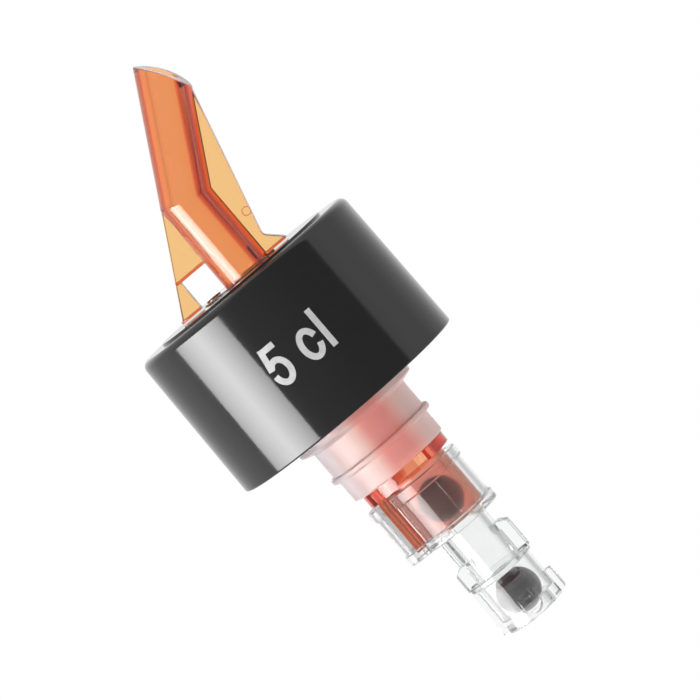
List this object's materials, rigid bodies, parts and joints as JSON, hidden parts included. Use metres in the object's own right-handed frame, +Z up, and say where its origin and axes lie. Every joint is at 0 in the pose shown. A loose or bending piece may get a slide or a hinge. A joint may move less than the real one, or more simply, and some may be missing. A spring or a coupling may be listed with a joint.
{
  "type": "measured pourer",
  "caption": "Bottle pourer that stops after a set measure: bent finned spout, turning collar, ribbed cork, and steel balls running in a metering tube and a clear cage.",
  "frame": {"origin": "on the cork's axis, at the middle of its sealing rib", "axes": "+Z up the cork's axis towards the spout, +X to the side that pours"},
  "size_m": [0.0444, 0.0444, 0.1127],
  "materials": {
    "orange_clear": "see-through orange, polished",
    "collar_black": "black gloss moulding",
    "cork_frosted": "frosted milky soft plastic",
    "cup_clear": "clear, polished",
    "cage_clear": "clear, polished",
    "ball_steel": "ground steel ball"
  },
  "bodies": {
    "pourer": {"spout": "orange_clear", "cork": "cork_frosted", "cup": "cup_clear", "cage": "cage_clear"},
    "collar": {"collar": "collar_black"},
    "timing_ball": {"timing_ball": "ball_steel"},
    "check_ball": {"check_ball": "ball_steel"}
  },
  "joints": [
    {"name": "collar_turn", "type": "hinge", "parent": "pourer", "child": "collar", "pos_m": [0, 0, 0.022], "axis": [0, 0, 1], "continuous": true},
    {"name": "timing_ball_run", "type": "slide", "parent": "pourer", "child": "timing_ball", "axis": [0, 0, 1], "range_m": [0, 0.03]},
    {"name": "check_ball_lift", "type": "slide", "parent": "pourer", "child": "check_ball", "axis": [0, 0, 1], "range_m": [0, 0.00175]}
  ]
}
